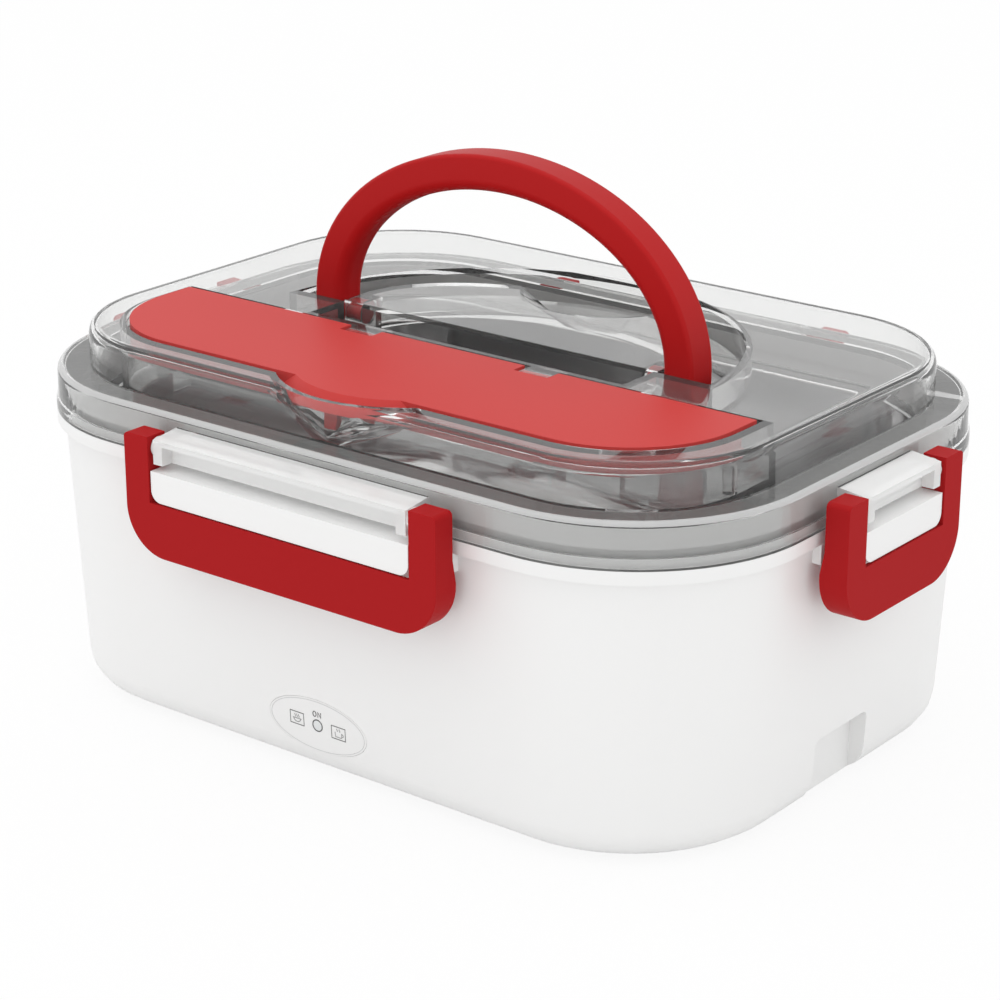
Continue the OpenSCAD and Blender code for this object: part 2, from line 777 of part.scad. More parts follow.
// Carries a latch: a plate with a rib under it and a bored block at each end
module lid_tab(half) {
    free = half - arm_w;
    half_l = free - tab_gap;
    core_l = 2 * (half_l - tab_block);
    core_h = tab_top - tab_slope - tab_wall - tab_z;
    bore_gap = 0.4;
    difference() {
        union() {
            translate([-half_l, 0, 0]) rotate([90, 0, 90]) linear_extrude(2 * half_l) polygon([
                [band_step + 1, tab_z], [band_step + 1, tab_top], [0, tab_top],
                [-tab_out, tab_top - tab_slope], [-tab_out, tab_z]]);
            translate([-free + side_gap, -pivot_out, pivot_z]) rotate([0, 90, 0])
                cylinder(h = 2 * (free - side_gap), r = barrel_r);
        }
        translate([-core_l / 2, -tab_out - 1, tab_z - 1])
            cube([core_l, tab_recess + 1, core_h + 1]);
        translate([-core_l / 2, tab_recess + tab_wall - tab_out, tab_z - 1])
            cube([core_l, tab_out - tab_recess - tab_wall, core_h + 1]);
        for (s = [-1, 1])
            translate([s * (free + 1), -pivot_out, pivot_z]) rotate([0, -s * 90, 0])
                cylinder(h = 1 + side_gap + stub_l + bore_gap, r = stub_r + run_gap);
    }
}

// The island's solid: a shell with a boss block at each end of the handle's axis
module island_hollow() {
    z0 = dome_top - pocket_d - thin_wall - 1;
    difference() {
        translate([0, 0, z0]) linear_extrude(dome_top - thin_wall - z0) island_plan(-thin_wall);
        for (s = [-1, 1])
            translate([s * (ear_x - ear_t / 2), 0, dome_top - pocket_d])
                cube([ear_t, ear_w, 3 * pocket_d], center = true);
        island_notch(thin_wall);
    }
}

module hinge_ear(s) {
    translate([s * knuckle_x - knuckle_l / 2, hinge_y - 2.2, hinge_z - 2.2])
        cube([knuckle_l, -tray_rear - hinge_y + 2.2 + eps, 4]);
}

module lid_shell() {
    color([0.85, 0.9, 0.92, 0.45]) difference() {
        union() {
            difference() {
                union() {
                    hull() {
                        slab(0, rim_top, rim_top + tongue_h);
                        slab(band_step, rim_top + flange_h - eps, rim_top + flange_h);
                    }
                    ring(band_step, dome_inset + lid_t, rim_top, shoulder_z);
                    dome(0, dome_top);
                }
                ring(band_step + lid_t, skirt_inset, rim_top - 1, shoulder_z - lid_t);
                ring(tongue_in - 0.25, skirt_inset, rim_top - 1, rim_top + tongue_h + 0.2);
                ring(skirt_inset + thin_wall, dome_inset + lid_t + 1, rim_top - 1, shoulder_z - lid_t);
                slab(skirt_inset + thin_wall, rim_top - 1, rim_top + flange_h);
                slab(skirt_inset, rim_top - 1, rim_top + 1.2);
                dome(-lid_t, dome_top - lid_t);
            }
            translate([0, 0, dome_top - pocket_d - thin_wall])
                linear_extrude(pocket_d + thin_wall) pocket_plan(thin_wall);
            translate([0, 0, tray_floor])
                linear_extrude(tray_d) tray_plan(thin_wall, tray_rear - thin_wall);
            scoop(thin_wall, scoop_z - 1);
            for (side = SIDES) on_side(side) lid_tab(side[3]);
        }
        translate([0, 0, dome_top - pocket_d]) linear_extrude(pocket_d + 1) difference() {
            pocket_plan(0);
            island_plan(0);
        }
        intersection() {
            island_notch(0);
            translate([0, 0, dome_top - pocket_d]) linear_extrude(pocket_d + 1) island_plan(1);
        }
        island_hollow();
        for (s = [-1, 1])
            translate([s * (ear_x + 1), 0, handle_z]) rotate([0, -s * 90, 0])
                cylinder(h = boss_l + 1.3, r = boss_r + run_gap);
        translate([0, 0, tray_floor + thin_wall]) linear_extrude(tray_d) tray_plan(0, tray_rear);
        scoop(0, scoop_z + 1);
    }
    color([0.85, 0.9, 0.92, 0.45]) difference() {
        for (s = [-1, 1]) {
            hinge_ear(s);
            translate([s * (tray_l - post_r), -tray_rear - 12.8, tray_floor + thin_wall - eps])
                cylinder(h = cover_z - skirt_h - seat_gap - tray_floor - thin_wall, r = post_r);
        }
        translate([-far, hinge_y, hinge_z]) rotate([0, 90, 0]) cylinder(h = 2 * far, r = pin_r + run_gap);
    }
}

module lid_seal() {
    seal_out = groove_in;
    seal_in = skirt_inset - seat_gap;
    color("silver") {
        ring(seal_out, seal_in, rim_top + flange_h, shoulder_z - lid_t);
        ring(seal_out + 1.7, seal_in - 1.6, rim_top, rim_top + flange_h);
    }
}

// ---------- latches ----------

module latch_shape(half) {
    h = arm_top - bar_z;
    difference() {
        union() {
            translate([-half + latch_r, 0]) square([2 * (half - latch_r), h]);
            translate([-half + arm_r, latch_r]) square([2 * (half - arm_r), h - latch_r]);
            translate([-half, latch_r]) square([2 * half, h - latch_r - arm_r]);
            for (s = [-1, 1]) {
                translate([s * (half - latch_r), latch_r]) circle(latch_r);
                translate([s * (half - arm_r), h - arm_r]) circle(arm_r, $fn = 48);
            }
        }
        translate([-half + arm_w, bar_top - bar_z]) square([2 * (half - arm_w), h]);
    }
}

module latch(side) {
    half = side[3];
    free = half - arm_w;
    heel_y = -latch_out + arm_d + heel_d;
    color("firebrick") on_side(side) {
        difference() {
            translate([0, heel_y, bar_z]) rotate([90, 0, 0])
                linear_extrude(arm_d + heel_d) latch_shape(half);
            translate([-free, -latch_out + latch_t, bar_z - 1])
                cube([2 * free, latch_out, arm_top - bar_z + 2]);
            translate([-half - 1, 0, 0]) rotate([90, 0, 90]) linear_extrude(2 * half + 2) polygon([
                [heel_y - heel_d, waist_z], [heel_y, waist_z - 6], [heel_y + 1, waist_z - 6],
                [heel_y + 1, arm_top + 1], [heel_y - heel_d, arm_top + 1]]);
        }
        for (s = [-1, 1])
            translate([s * (free + eps), -pivot_out, pivot_z]) rotate([0, -s * 90, 0])
                cylinder(h = stub_l + side_gap, r = stub_r);
    }
}

// ---------- handle ----------

module carry_handle() {
    inner_a = arch_a - arch_t;
    inner_b = arch_b - arch_t;
    color("firebrick") {
        translate([0, handle_d / 2, dome_top]) rotate([90, 0, 0]) linear_extrude(handle_d) difference() {
            scale([arch_a, arch_b]) circle(1, $fn = 96);
            scale([inner_a, inner_b]) circle(1, $fn = 96);
            translate([-far, -far]) square([2 * far, far]);
        }
        for (s = [-1, 1]) {
            translate([s > 0 ? inner_a : -arch_a, -handle_d / 2, handle_z])
                cube([arch_t, handle_d, dome_top - handle_z + eps]);
            translate([s > 0 ? inner_a : -arch_a, 0, handle_z]) rotate([0, 90, 0])
                cylinder(h = arch_t, r = handle_d / 2);
            translate([s * (inner_a + eps), 0, handle_z]) rotate([0, -s * 90, 0])
                cylinder(h = inner_a - ear_x + boss_l, r = boss_r);
        }
    }
}

// ---------- cutlery cover ----------

module cover_plan(grow) {
    tray_plan(grow - cover_gap, cover_rear);
}

// The lip under the thumb slopes outwards as it goes down
module thumb_lip() {
    intersection() {
        translate([0, bulge_y, cover_z - 2.4])
            cylinder(h = 2.4 + cover_t, r1 = bulge_r - cover_gap, r2 = bulge_r - cover_gap - lip_run);
        translate([0, 0, cover_z - 3]) linear_extrude(cover_t + 4)
            bulge_side(0) square([2 * far, bulge_d + 3]);
    }
}

module cutlery_cover() {
    color("indianred") {
        difference() {
            union() {
                translate([0, 0, cover_z]) linear_extrude(cover_t) cover_plan(0);
                translate([0, 0, cover_z - skirt_h]) linear_extrude(skirt_h + eps) difference() {
                    cover_plan(0);
                    cover_plan(-1.4);
                    translate([-far, hinge_y - 6]) square([2 * far, far]);
                }
                thumb_lip();
            }
            for (s = [-1, 1])
                translate([s * knuckle_x - notch_l / 2, hinge_y - 3, cover_z - 1])
                    cube([notch_l, 10, cover_t + 2]);
        }
        translate([-hook_w / 2, -tray_front - bulge_d + 3.6, cover_z - hook_h])
            cube([hook_w, 1.6, hook_h + eps]);
        for (s = [-1, 1], t = [-1, 1])
            translate([s * knuckle_x + t * (notch_l / 2 + 0.8) - 0.8, hinge_y - 2, hinge_z - 1.6])
                cube([1.6, 4, cover_z - hinge_z + 1.6 + eps]);
        for (s = [-1, 1])
            translate([s * knuckle_x - notch_l / 2 - eps, hinge_y, hinge_z]) rotate([0, 90, 0])
                cylinder(h = notch_l + 2 * eps, r = pin_r);
    }
}

outer_housing();
inner_well();
heating_plate();
plate_gasket();
ptc_heaters();
heater_clamp();
clamp_screws();
plate_washers();
plate_screws();
thermostat();
thermal_fuse();
heat_shield();
control_board();
board_screws();
indicator_led();
led_lens();
control_panel();
inlet_socket();
inlet_prongs();
live_lead();
neutral_lead();
indicator_leads();
base_cover();
base_screws();
rubber_feet();
steel_pot();
lid_shell();
lid_seal();
latch(SIDES[0]);  // front_latch
latch(SIDES[1]);  // rear_latch
latch(SIDES[2]);  // right_latch
latch(SIDES[3]);  // left_latch
carry_handle();
cutlery_cover();
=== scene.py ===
import bpy
import bmesh
import json
import math
from mathutils import Matrix, Vector


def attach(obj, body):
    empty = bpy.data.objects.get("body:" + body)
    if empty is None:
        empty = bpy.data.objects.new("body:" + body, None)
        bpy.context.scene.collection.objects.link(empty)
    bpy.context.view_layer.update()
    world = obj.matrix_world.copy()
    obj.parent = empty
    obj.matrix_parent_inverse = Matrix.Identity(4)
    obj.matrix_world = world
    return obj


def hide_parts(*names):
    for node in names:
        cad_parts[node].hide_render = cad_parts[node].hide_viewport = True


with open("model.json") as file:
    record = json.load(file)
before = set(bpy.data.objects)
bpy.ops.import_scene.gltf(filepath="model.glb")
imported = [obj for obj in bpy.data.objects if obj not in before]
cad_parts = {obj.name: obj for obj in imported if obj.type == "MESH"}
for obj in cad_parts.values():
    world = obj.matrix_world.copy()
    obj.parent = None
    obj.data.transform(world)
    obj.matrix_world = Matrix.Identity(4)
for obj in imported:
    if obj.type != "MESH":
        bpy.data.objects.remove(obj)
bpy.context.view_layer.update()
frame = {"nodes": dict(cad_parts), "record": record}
mm = 0.001
print("frame loaded:", len(frame["nodes"]), "nodes")

nodeSlots = {part["node"]: part["material_slot"] for part in frame["record"]["subparts"]}
bodyOf = {node: body for body, nodes in frame["record"]["behaviour"]["bodies"].items() for node in nodes}

# camera: where the box is seen from, in mm, and the way it looks
viewpoint = {
    "place": (435.9, -558.4, 314.3),
    "right": (0.7870, 0.6169, 0.0),
    "up": (-0.2134, 0.2723, 0.9382),
    "lens": 102.6,
    "sensor": 36,
    "clip": 0.01,
}


def addCamera(settings):
    right, up = Vector(settings["right"]).normalized(), Vector(settings["up"]).normalized()
    back = right.cross(up)
    turn = Matrix((right, up, back)).transposed().to_4x4()
    data = bpy.data.cameras.new("camera")
    data.lens = settings["lens"]
    data.sensor_width = settings["sensor"]
    data.clip_start = settings["clip"]
    camera = bpy.data.objects.new("camera", data)
    camera.matrix_world = Matrix.Translation(Vector(settings["place"]) * mm) @ turn
    bpy.context.scene.collection.objects.link(camera)
    bpy.context.scene.camera = camera


addCamera(viewpoint)

# the clear lid has many walls one behind the other, so light needs many steps through it
lightSteps = {"max_bounces": 32, "transmission_bounces": 32, "transparent_max_bounces": 24}
for name, steps in lightSteps.items():
    setattr(bpy.context.scene.cycles, name, steps)


# ---- helpers for materials

class Tree:
    # a small wrapper that adds nodes and links by name
    def __init__(self, tree):
        self.tree = tree

    def add(self, kind, values=None, **props):
        node = self.tree.nodes.new(kind)
        for key, value in props.items():
            setattr(node, key, value)
        for key, value in (values or {}).items():
            node.inputs[key].default_value = value
        return node

    def join(self, start, end):
        self.tree.links.new(start, end)


def newMaterial(name):
    material = bpy.data.materials.new(name)
    material.use_nodes = True
    material.node_tree.nodes.clear()
    tree = Tree(material.node_tree)
    output = tree.add("ShaderNodeOutputMaterial")
    return material, tree, output


grainInputs = {"Grain size": 900.0, "Drift size": 14.0, "Roughness": 0.4, "Roughness drift": 0.06}


def grainGroup(defaults):
    # moulded-surface grain: a fine height, and a slow drift of roughness and tone
    group = bpy.data.node_groups.new("mouldedGrain", "ShaderNodeTree")
    face = group.interface
    for name, value in defaults.items():
        socket = face.new_socket(name=name, in_out="INPUT", socket_type="NodeSocketFloat")
        socket.default_value = value
    for name in ("Height", "Roughness", "Tone"):
        face.new_socket(name=name, in_out="OUTPUT", socket_type="NodeSocketFloat")
    tree = Tree(group)
    inputs, outputs = tree.add("NodeGroupInput"), tree.add("NodeGroupOutput")
    place = tree.add("ShaderNodeTexCoord")
    fine = tree.add("ShaderNodeTexNoise", {"Detail": 3.0, "Roughness": 0.6})
    slow = tree.add("ShaderNodeTexNoise", {"Detail": 2.0, "Roughness": 0.5})
    for noise, size in ((fine, "Grain size"), (slow, "Drift size")):
        tree.join(place.outputs["Object"], noise.inputs["Vector"])
        tree.join(inputs.outputs[size], noise.inputs["Scale"])
    centred = tree.add("ShaderNodeMath", {1: 0.5}, operation="SUBTRACT")
    scaled = tree.add("ShaderNodeMath", operation="MULTIPLY")
    total = tree.add("ShaderNodeMath", operation="ADD")
    tree.join(slow.outputs["Fac"], centred.inputs[0])
    tree.join(centred.outputs[0], scaled.inputs[0])
    tree.join(inputs.outputs["Roughness drift"], scaled.inputs[1])
    tree.join(scaled.outputs[0], total.inputs[0])
    tree.join(inputs.outputs["Roughness"], total.inputs[1])
    tree.join(fine.outputs["Fac"], outputs.inputs["Height"])
    tree.join(total.outputs[0], outputs.inputs["Roughness"])
    tree.join(slow.outputs["Fac"], outputs.inputs["Tone"])
    return group


grain = grainGroup(grainInputs)


def addGrain(tree, size, roughness, drift):
    effect = tree.add("ShaderNodeGroup", node_tree=grain)
    effect.inputs["Grain size"].default_value = size
    effect.inputs["Roughness"].default_value = roughness
    effect.inputs["Roughness drift"].default_value = drift
    return effect


def twoTones(tree, color, tone):
    mix = tree.add("ShaderNodeMix", data_type="RGBA")
    mix.inputs["A"].default_value = (*color, 1)
    mix.inputs["B"].default_value = (*[c * tone for c in color], 1)
    return mix


mouldedUsual = {"ior": 1.5, "gloss": 0.5, "tone": 0.96, "bump": 0.05, "bumpDepth": 0.0002}


def moulded(name, finish):
    # moulded plastic or rubber: two near tones, satin gloss and a fine grain
    settings = {**mouldedUsual, **finish}
    material, tree, output = newMaterial(name)
    shader = tree.add("ShaderNodeBsdfPrincipled", {
        "IOR": settings["ior"], "Specular IOR Level": settings["gloss"]})
    effect = addGrain(tree, grainInputs["Grain size"], settings["roughness"], grainInputs["Roughness drift"])
    mix = twoTones(tree, settings["color"], settings["tone"])
    bump = tree.add("ShaderNodeBump", {"Strength": settings["bump"], "Distance": settings["bumpDepth"]})
    tree.join(effect.outputs["Tone"], mix.inputs["Factor"])
    tree.join(mix.outputs["Result"], shader.inputs["Base Color"])
    tree.join(effect.outputs["Roughness"], shader.inputs["Roughness"])
    tree.join(effect.outputs["Height"], bump.inputs["Height"])
    tree.join(bump.outputs["Normal"], shader.inputs["Normal"])
    tree.join(shader.outputs["BSDF"], output.inputs["Surface"])
    return material


metalUsual = {"brush": (40, 900, 900), "spread": 0.22, "tone": 0.94, "bump": 0.02, "bumpDepth": 0.0001}


def metal(name, finish):
    # pressed or turned metal, with a faint brushing along one axis
    settings = {**metalUsual, **finish}
    material, tree, output = newMaterial(name)
    shader = tree.add("ShaderNodeBsdfPrincipled", {"Metallic": 1.0})
    place = tree.add("ShaderNodeTexCoord")
    stretch = tree.add("ShaderNodeMapping", {"Scale": settings["brush"]})
    lines = tree.add("ShaderNodeTexNoise", {"Scale": 1.0, "Detail": 3.0})
    span = tree.add("ShaderNodeMapRange", {
        "To Min": settings["roughness"] * (1 - settings["spread"]),
        "To Max": settings["roughness"] * (1 + settings["spread"])})
    mix = twoTones(tree, settings["color"], settings["tone"])
    bump = tree.add("ShaderNodeBump", {"Strength": settings["bump"], "Distance": settings["bumpDepth"]})
    tree.join(place.outputs["Object"], stretch.inputs["Vector"])
    tree.join(stretch.outputs["Vector"], lines.inputs["Vector"])
    tree.join(lines.outputs["Fac"], span.inputs["Value"])
    tree.join(span.outputs["Result"], shader.inputs["Roughness"])
    tree.join(lines.outputs["Fac"], mix.inputs["Factor"])
    tree.join(mix.outputs["Result"], shader.inputs["Base Color"])
    tree.join(lines.outputs["Fac"], bump.inputs["Height"])
    tree.join(bump.outputs["Normal"], shader.inputs["Normal"])
    tree.join(shader.outputs["BSDF"], output.inputs["Surface"])
    return material


clearUsual = {"ior": 1.36, "grainSize": 260.0, "driftShare": 0.4}


def clearPlastic(name, finish):
    # clear moulded plastic that lets lamps through, with some haze where its surface is frosted
    settings = {**clearUsual, **finish}
    material, tree, output = newMaterial(name)
    shader = tree.add("ShaderNodeBsdfPrincipled", {
        "Base Color": (*settings["color"], 1), "Metallic": 0.0, "IOR": settings["ior"],
        "Transmission Weight": 1.0 - settings["haze"]})
    roughness = settings["roughness"]
    effect = addGrain(tree, settings["grainSize"], roughness, roughness * settings["driftShare"])
    through = tree.add("ShaderNodeBsdfTransparent", {"Color": (*[settings["through"]] * 3, 1)})
    path = tree.add("ShaderNodeLightPath")
    mix = tree.add("ShaderNodeMixShader")
    tree.join(effect.outputs["Roughness"], shader.inputs["Roughness"])
    tree.join(path.outputs["Is Shadow Ray"], mix.inputs["Fac"])
    tree.join(shader.outputs["BSDF"], mix.inputs[1])
    tree.join(through.outputs["BSDF"], mix.inputs[2])
    tree.join(mix.outputs["Shader"], output.inputs["Surface"])
    return material


mouldedFinishes = {
    "white_shell": {"color": (0.90, 0.90, 0.895), "roughness": 0.42, "tone": 0.985},
    "well_plastic": {"color": (0.78, 0.78, 0.775), "roughness": 0.45},
    "gasket_rubber": {"color": (0.05, 0.05, 0.05), "roughness": 0.6, "bump": 0.1},
    "heater_ceramic": {"color": (0.70, 0.52, 0.20), "roughness": 0.7},
    "part_black": {"color": (0.03, 0.03, 0.03), "roughness": 0.5},
    "fuse_body": {"color": (0.60, 0.50, 0.36), "roughness": 0.5},
    "board_green": {"color": (0.02, 0.16, 0.06), "roughness": 0.35},
    "led_body": {"color": (0.55, 0.75, 0.50), "roughness": 0.2},
    "lens_clear": {"color": (0.80, 0.82, 0.82), "roughness": 0.15},
    "panel_film": {"color": (0.90, 0.90, 0.895), "roughness": 0.30, "bump": 0.01},
    "inlet_black": {"color": (0.04, 0.04, 0.042), "roughness": 0.45},
    "lead_brown": {"color": (0.16, 0.07, 0.03), "roughness": 0.45},
    "lead_blue": {"color": (0.03, 0.10, 0.42), "roughness": 0.45},
    "lead_orange": {"color": (0.70, 0.25, 0.03), "roughness": 0.45},
    "foot_rubber": {"color": (0.30, 0.30, 0.30), "roughness": 0.65, "bump": 0.1},
    "seal_grey": {"color": (0.78, 0.78, 0.775), "roughness": 0.5},
    "latch_red": {"color": (0.41, 0.014, 0.016), "roughness": 0.45, "gloss": 0.03},
    "handle_red": {"color": (0.46, 0.010, 0.011), "roughness": 0.45, "gloss": 0.12},
    # cover_red is the same red plastic as the latches and handle, made lighter as painted light for the brighter
    # light on the cover's top face
    "cover_red": {"color": (0.585, 0.051, 0.047), "roughness": 0.5, "gloss": 0.14},
    "ink_dark": {"color": (0.09, 0.09, 0.09), "roughness": 0.5, "bump": 0.01},
    "ink_soft": {"color": (0.30, 0.30, 0.30), "roughness": 0.5, "bump": 0.01},
    "ink_pale": {"color": (0.68, 0.68, 0.68), "roughness": 0.5, "bump": 0.01},
}
metalFinishes = {
    "cast_plate": {"color": (0.60, 0.61, 0.62), "roughness": 0.38, "brush": (700, 700, 700)},
    "clamp_steel": {"color": (0.55, 0.55, 0.56), "roughness": 0.3},
    "screw_steel": {"color": (0.62, 0.62, 0.63), "roughness": 0.28},
    "shield_foil": {"color": (0.72, 0.72, 0.73), "roughness": 0.2},
    "prong_brass": {"color": (0.75, 0.62, 0.36), "roughness": 0.25},
    "pot_steel": {"color": (0.66, 0.66, 0.662), "roughness": 0.13, "spread": 0.06, "tone": 0.985,
                  "bump": 0.002, "brush": (30, 500, 500)},
}
clearFinishes = {
    "lid_clear": {"color": (0.935, 0.937, 0.933), "roughness": 0.008, "haze": 0.03, "through": 0.97},
    # the shoulder's white haze is painted light: it lightens the ring seen through the clear shoulder
    "shoulder_frost_painted_light": {"color": (0.97, 0.97, 0.968), "roughness": 0.05, "haze": 0.5, "through": 0.95},
    "tab_clear": {"color": (1.0, 1.0, 0.995), "roughness": 0.12, "haze": 0.62, "through": 0.95},
}
materials = {}
for maker, finishes in ((moulded, mouldedFinishes), (metal, metalFinishes), (clearPlastic, clearFinishes)):
    materials.update({name: maker(name, finish) for name, finish in finishes.items()})
print("materials made:", len(materials))


# ---- helpers for pieces

def dress(piece, slot):
    piece.data.materials.clear()
    piece.data.materials.append(materials[slot])
    return piece


def addPiece(mesh, name):
    data = bpy.data.meshes.new(name)
    mesh.to_mesh(data)
    mesh.free()
    piece = bpy.data.objects.new(name, data)
    bpy.context.scene.collection.objects.link(piece)
    return piece


def takePlace(piece, node):
    # the piece moves with the node's body and stands in for the node
    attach(piece, bodyOf[node])
    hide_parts(node)
    return piece


def bridge(mesh, one, two):
    count = len(one)
    for k in range(count):
        mesh.faces.new((one[k], one[(k + 1) % count], two[(k + 1) % count], two[k]))


def loft(mesh, rings):
    # a closed form through rings that have the same number of points
    for one, two in zip(rings, rings[1:]):
        bridge(mesh, one, two)
    mesh.faces.new(rings[0])
    mesh.faces.new(rings[-1][::-1])


# ---- pieces that keep the frame's shape and get rounded edges

cleaning = {"merge": 0.002, "flat": 1.0, "edge": 30}


def rounded(node, settings):
    # a copy of the frame's node with clean faces, real edge radii and smooth shading
    mesh = bmesh.new()
    mesh.from_mesh(frame["nodes"][node].data)
    bmesh.ops.remove_doubles(mesh, verts=mesh.verts, dist=cleaning["merge"] * mm)
    flat = math.radians(cleaning["flat"])
    bmesh.ops.dissolve_limit(mesh, angle_limit=flat, verts=mesh.verts, edges=mesh.edges)
    if "reshape" in settings:
        settings["reshape"](mesh)
    piece = addPiece(mesh, settings["name"])
    piece.data.shade_smooth()
    bevel = piece.modifiers.new("edges", "BEVEL")
    bevel.width = settings["radius"] * mm
    bevel.segments = settings.get("segments", 2)
    bevel.limit_method = "ANGLE"
    bevel.angle_limit = math.radians(cleaning["edge"])
    normals = piece.modifiers.new("normals", "WEIGHTED_NORMAL")
    normals.keep_sharp = True
    return dress(takePlace(piece, node), settings["slot"])


rim = {"length": 224.2, "width": 162.3, "corner": 48.0}
catchFace = {"plane": 6.5, "forward": 1.15}                 # the catch blocks stand nearly flush with the latches
bandEdge = {"height": 89.2, "radius": 1.7, "steps": 4, "reach": 0.9, "level": 0.05, "fold": 40}
# where the lid's faces are hazy, by distance outside the rim, height from the band edge and lean: frosted tabs, and
# a shoulder ring whose upward faces are whitened as painted light
haze = {"tabs": 0.25, "inner": -9.3, "low": -1.8, "high": 0.3, "lean": 0.2}


def fromRim(point):
    # distance outside the rim's outline, negative inside
    x = abs(point.x / mm) - rim["length"] / 2 + rim["corner"]
    y = abs(point.y / mm) - rim["width"] / 2 + rim["corner"]
    return math.hypot(max(x, 0), max(y, 0)) + min(max(x, y), 0) - rim["corner"]


def flushCatches(mesh):
    for vert in mesh.verts:
        if fromRim(vert.co) > catchFace["plane"]:
            axis = 1 if abs(vert.co.y / mm) > rim["width"] / 2 + catchFace["plane"] else 0
            vert.co[axis] += math.copysign(catchFace["forward"] * mm, vert.co[axis])


def softBand(mesh):
    # the lid band's upper outer edge has a larger radius, which catches the light
    onEdge = {vert for vert in mesh.verts
              if abs(vert.co.z / mm - bandEdge["height"]) < bandEdge["level"]
              and abs(fromRim(vert.co)) < bandEdge["reach"]}
    fold = math.radians(bandEdge["fold"])
    edges = [edge for edge in mesh.edges if onEdge.issuperset(edge.verts)
             and edge.is_manifold and edge.calc_face_angle(0) > fold]
    bmesh.ops.bevel(mesh, geom=edges, offset=bandEdge["radius"] * mm, segments=bandEdge["steps"],
                    profile=0.5, affect="EDGES", clamp_overlap=False)
    print("band edges rounded:", len(edges))


def frostTabsLightenShoulder(piece):
    # the latch tabs are frosted, and the flat shoulder's upward faces get a white haze that is painted light,
    # lightening the ring that shows dark under the clear plastic, so their faces take their own materials
    for slot in ("tab_clear", "shoulder_frost_painted_light"):
        piece.data.materials.append(materials[slot])
    for face in piece.data.polygons:
        out, height = fromRim(face.center), face.center.z / mm - bandEdge["height"]
        onTop = haze["low"] < height < haze["high"] and face.normal.z > haze["lean"]
        if out > haze["tabs"]:
            face.material_index = 1
        elif out > haze["inner"] and onTop:
            face.material_index = 2


softNodes = {
    "outer_housing": {"name": "housingShell", "radius": 0.6, "slot": "white_shell", "reshape": flushCatches},
    "lid_shell": {"name": "clearLid", "radius": 0.35, "slot": "lid_clear", "reshape": softBand},
    **{side + "_latch": {"name": side + "Latch", "radius": 1.2, "segments": 3, "slot": "latch_red"}
       for side in ("front", "rear", "right", "left")},
    "cutlery_cover": {"name": "cutleryCover", "radius": 0.5, "slot": "cover_red"},
    "base_cover": {"name": "baseCover", "radius": 0.4, "slot": "white_shell"},
    "inlet_socket": {"name": "inletSocket", "radius": 0.3, "slot": "inlet_black"},
}
softPieces = {node: rounded(node, settings) for node, settings in softNodes.items()}
frostTabsLightenShoulder(softPieces["lid_shell"])
print("rounded pieces:", len(softPieces))


# ---- pieces drawn from their profiles

def finishMesh(mesh, name, node, slot):
    # a smooth piece that takes a frame node's place
    bmesh.ops.recalc_face_normals(mesh, faces=mesh.faces)
    piece = addPiece(mesh, name)
    piece.data.shade_smooth()
    piece.modifiers.new("normals", "WEIGHTED_NORMAL")
    return dress(takePlace(piece, node), slot)


def arc(x, z, radius, start, end, steps):
    turns = [math.radians(start + (end - start) * k / steps) for k in range(steps + 1)]
    return [(x + radius * math.cos(turn), z + radius * math.sin(turn)) for turn in turns]


# the steel pot: insets are from the rim's outline, and heights from the table
pot = {
    "rim": 3.4, "wall": 11.9, "draft": 2.4, "curve": 10.0, "thick": 0.7, "floor": 25.0, "top": 77.4,
    "rimEdge": 0.3, "innerEdge": 0.8, "curveSteps": 10, "rimSteps": 4, "innerSteps": 6, "cornerSteps": 16,
}


def potProfile(settings):
    # pairs of inset and height, from the underside of the floor, up outside, and down inside
    thick, curve, top, floor = (settings[key] for key in ("thick", "curve", "top", "floor"))
    edge, inner = settings["rimEdge"], settings["innerEdge"]
    low = settings["wall"] + settings["draft"]
    points = arc(low + curve, floor + curve, curve, 270, 180, settings["curveSteps"])
    points.append((settings["wall"], top - thick))
    points += [(settings["rim"] + edge, top - thick), (settings["rim"], top - thick + edge)]
    points += arc(settings["rim"] + edge, top - edge, edge, 180, 90, settings["rimSteps"])
    points += arc(settings["wall"] + thick - inner, top - inner, inner, 90, 0, settings["innerSteps"])
    points += arc(low + curve, floor + curve, curve - thick, 180, 270, settings["curveSteps"])
    return points


def rimOutline(inset, steps):
    # points round the rim's outline, moved inwards
    corner = rim["corner"] - inset
    centreX, centreY = rim["length"] / 2 - rim["corner"], rim["width"] / 2 - rim["corner"]
    points = []
    for quarter, (signX, signY) in enumerate(((1, 1), (-1, 1), (-1, -1), (1, -1))):
        points += arc(signX * centreX, signY * centreY, corner, quarter * 90, quarter * 90 + 90, steps)
    return points


def addPot(settings):
    mesh = bmesh.new()
    rings = []
    for inset, z in potProfile(settings):
        outline = rimOutline(inset, settings["cornerSteps"])
        rings.append([mesh.verts.new(Vector((x, y, z)) * mm) for x, y in outline])
    loft(mesh, rings)
    finishMesh(mesh, "steelPot", "steel_pot", "pot_steel")


addPot(pot)
print("pot made")

# the arch handle, with a well rounded inner side for the fingers
handle = {
    "outer": (61.7, 46.6), "thick": 9.8, "half": 4.8, "base": 100.0, "pivot": 96.2,
    "innerRadius": 3.4, "outerRadius": 1.1, "edgeSteps": 6, "steps": 72, "legSteps": 9, "legTurn": 9.6,
    "boss": 3.0, "bossEdge": 0.4, "bossRoot": 1, "bossSteps": 32,
}


def handleSection(settings):
    # points round the bar: how far across from its inner side, and how far to the front or rear
    thick, half = settings["thick"], settings["half"]
    inner, outer = settings["innerRadius"], settings["outerRadius"]
    corners = ((inner, -1, inner, 180), (thick - outer, -1, outer, 270),
               (thick - outer, 1, outer, 0), (inner, 1, inner, 90))
    points = []
    for across, front, radius, start in corners:
        points += arc(across, front * (half - radius), radius, start, start + 90, settings["edgeSteps"])
    return points


